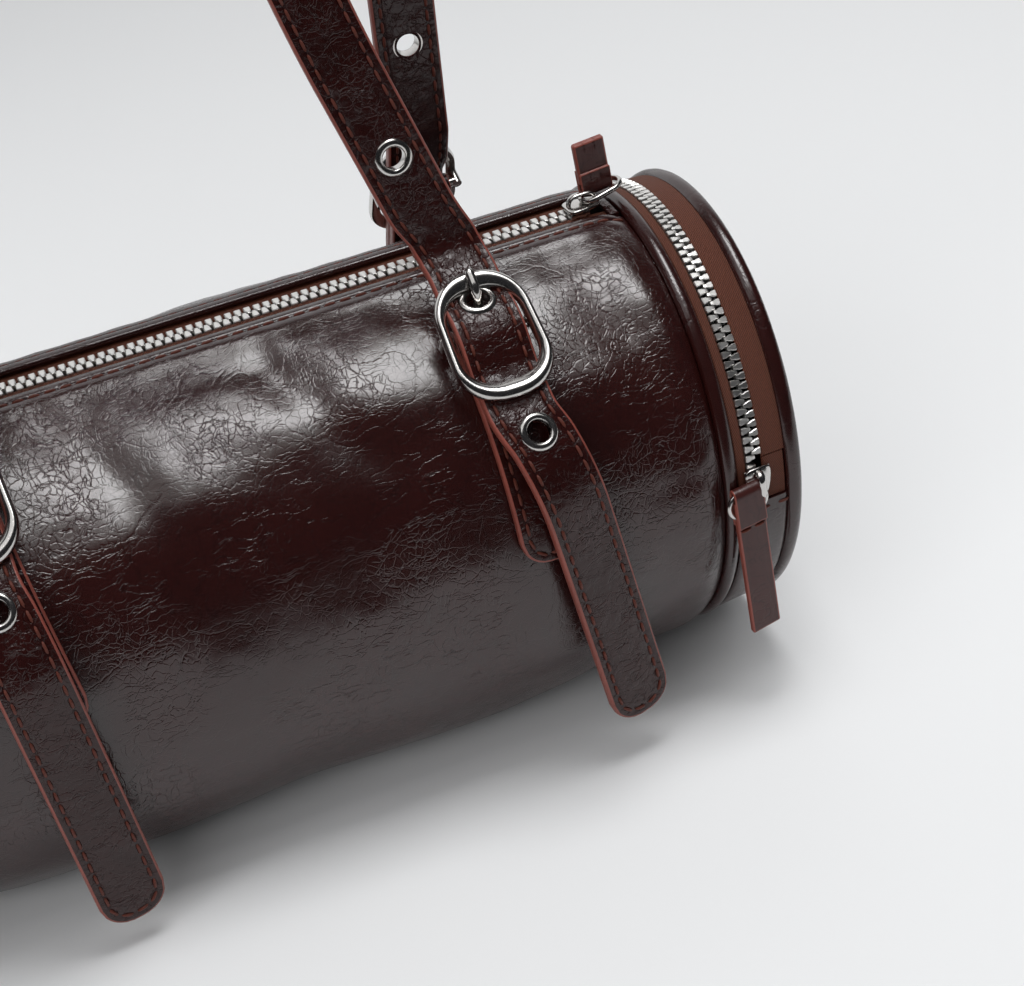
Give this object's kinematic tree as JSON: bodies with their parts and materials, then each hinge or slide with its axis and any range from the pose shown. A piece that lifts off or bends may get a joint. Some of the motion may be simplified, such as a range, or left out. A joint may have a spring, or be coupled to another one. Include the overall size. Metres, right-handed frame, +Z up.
{
  "type": "barrel bag",
  "caption": "Cylindrical leather shoulder bag with a top zip, a zipped round end pocket, and two handles on buckled straps over sewn anchor tabs.",
  "frame": {"origin": "middle of the flat that the bag rests on", "axes": "+X along the bag towards the zipped pocket end, +Y to the back, +Z up"},
  "size_m": [0.3216, 0.1661, 0.3485],
  "materials": {
    "leather": "glossy crinkled",
    "strap_leather": "glossy, painted edges",
    "zip_tape": "woven",
    "hardware": "polished"
  },
  "bodies": {
    "bag": {"body_panel": "leather", "left_end_panel": "leather", "left_piping": "leather", "pocket_divider": "leather", "inner_piping": "leather", "pocket_gusset": "leather", "pocket_tape_fixed": "zip_tape", "pocket_teeth_fixed": "hardware", "end_piping_base": "leather", "end_panel_base": "leather", "top_tape_front": "zip_tape", "top_tape_back": "zip_tape", "top_teeth_front": "hardware", "top_teeth_back": "hardware", "zip_tab_right": "strap_leather", "zip_tab_left": "strap_leather", "buckled_eyelets": "hardware", "front_right_tab": "strap_leather", "front_right_buckle": "hardware", "front_right_saddle": "strap_leather", "front_left_tab": "strap_leather", "front_left_buckle": "hardware", "front_left_saddle": "strap_leather", "back_right_tab": "strap_leather", "back_right_buckle": "hardware", "back_right_saddle": "strap_leather", "back_left_tab": "strap_leather", "back_left_buckle": "hardware", "back_left_saddle": "strap_leather"},
    "top_slider": {"top_slider": "hardware"},
    "top_ring": {"top_ring": "hardware"},
    "top_pull": {"top_pull": "strap_leather"},
    "pocket_slider": {"pocket_slider": "hardware"},
    "pocket_ring": {"pocket_ring": "hardware"},
    "pocket_pull": {"pocket_pull": "strap_leather"},
    "pocket_lid": {"pocket_tape_lid": "zip_tape", "pocket_teeth_lid": "hardware", "end_piping_lid": "leather", "end_panel_lid": "leather"},
    "front_handle": {"front_handle": "strap_leather", "front_handle_eyelets": "hardware"},
    "front_right_prong": {"front_right_prong": "hardware"},
    "front_right_tail": {"front_right_tail": "strap_leather", "front_right_tail_eyelet": "hardware"},
    "front_left_prong": {"front_left_prong": "hardware"},
    "front_left_tail": {"front_left_tail": "strap_leather", "front_left_tail_eyelet": "hardware"},
    "back_handle": {"back_handle": "strap_leather", "back_handle_eyelets": "hardware"},
    "back_right_prong": {"back_right_prong": "hardware"},
    "back_right_tail": {"back_right_tail": "strap_leather", "back_right_tail_eyelet": "hardware"},
    "back_left_prong": {"back_left_prong": "hardware"},
    "back_left_tail": {"back_left_tail": "strap_leather", "back_left_tail_eyelet": "hardware"}
  },
  "joints": [
    {"name": "top_zip", "type": "slide", "parent": "bag", "child": "top_slider", "axis": [-1, 0, 0], "range_m": [0, 0.2675]},
    {"name": "top_ring_swing", "type": "hinge", "parent": "top_slider", "child": "top_ring", "pos_m": [0.1243, 0, 0.14911], "axis": [0, -1, 0], "range_deg": [0, 75]},
    {"name": "top_pull_swing", "type": "hinge", "parent": "top_ring", "child": "top_pull", "pos_m": [0.13046, 0.00385, 0.15065], "axis": [0.9703, 0, 0.2419], "range_deg": [-75, 12]},
    {"name": "pocket_zip", "type": "hinge", "parent": "bag", "child": "pocket_slider", "pos_m": [0.1448, 0, 0.07281], "axis": [-1, 0, 0], "range_deg": [0, 172]},
    {"name": "pocket_ring_swing", "type": "hinge", "parent": "pocket_slider", "child": "pocket_ring", "pos_m": [0.1429, -0.07641, 0.07815], "axis": [-1, 0, 0], "range_deg": [0, 120]},
    {"name": "pocket_pull_swing", "type": "hinge", "parent": "pocket_ring", "child": "pocket_pull", "pos_m": [0.1429, -0.07695, 0.07047], "axis": [-1, 0, 0], "range_deg": [0, 60]},
    {"name": "pocket_lid_swing", "type": "hinge", "parent": "bag", "child": "pocket_lid", "pos_m": [0.1608, 0, 0.08519], "axis": [0, 1, 0], "range_deg": [0, 80]},
    {"name": "front_handle_swing", "type": "hinge", "parent": "bag", "child": "front_handle", "pos_m": [0, -0.02583, 0.1572], "axis": [1, 0, 0], "range_deg": [0, 80]},
    {"name": "front_right_prong_lift", "type": "hinge", "parent": "bag", "child": "front_right_prong", "pos_m": [0.0785, -0.04337, 0.13905], "axis": [1, 0, 0], "range_deg": [0, 7]},
    {"name": "front_right_tail_flap", "type": "hinge", "parent": "bag", "child": "front_right_tail", "pos_m": [0.0785, -0.06523, 0.12641], "axis": [-1, 0, 0], "range_deg": [0, 60]},
    {"name": "front_left_prong_lift", "type": "hinge", "parent": "bag", "child": "front_left_prong", "pos_m": [-0.0785, -0.04337, 0.13905], "axis": [1, 0, 0], "range_deg": [0, 7]},
    {"name": "front_left_tail_flap", "type": "hinge", "parent": "bag", "child": "front_left_tail", "pos_m": [-0.0785, -0.06523, 0.12641], "axis": [-1, 0, 0], "range_deg": [0, 60]},
    {"name": "back_handle_swing", "type": "hinge", "parent": "bag", "child": "back_handle", "pos_m": [0, 0.04086, 0.16684], "axis": [-1, 0, 0], "range_deg": [0, 80]},
    {"name": "back_right_prong_lift", "type": "hinge", "parent": "bag", "child": "back_right_prong", "pos_m": [0.0885, 0.05033, 0.14344], "axis": [-1, 0, 0], "range_deg": [0, 7]},
    {"name": "back_right_tail_flap", "type": "hinge", "parent": "bag", "child": "back_right_tail", "pos_m": [0.0885, 0.06586, 0.12353], "axis": [1, 0, 0], "range_deg": [0, 60]},
    {"name": "back_left_prong_lift", "type": "hinge", "parent": "bag", "child": "back_left_prong", "pos_m": [-0.0885, 0.05033, 0.14344], "axis": [-1, 0, 0], "range_deg": [0, 7]},
    {"name": "back_left_tail_flap", "type": "hinge", "parent": "bag", "child": "back_left_tail", "pos_m": [-0.0885, 0.06586, 0.12353], "axis": [1, 0, 0], "range_deg": [0, 60]}
  ]
}
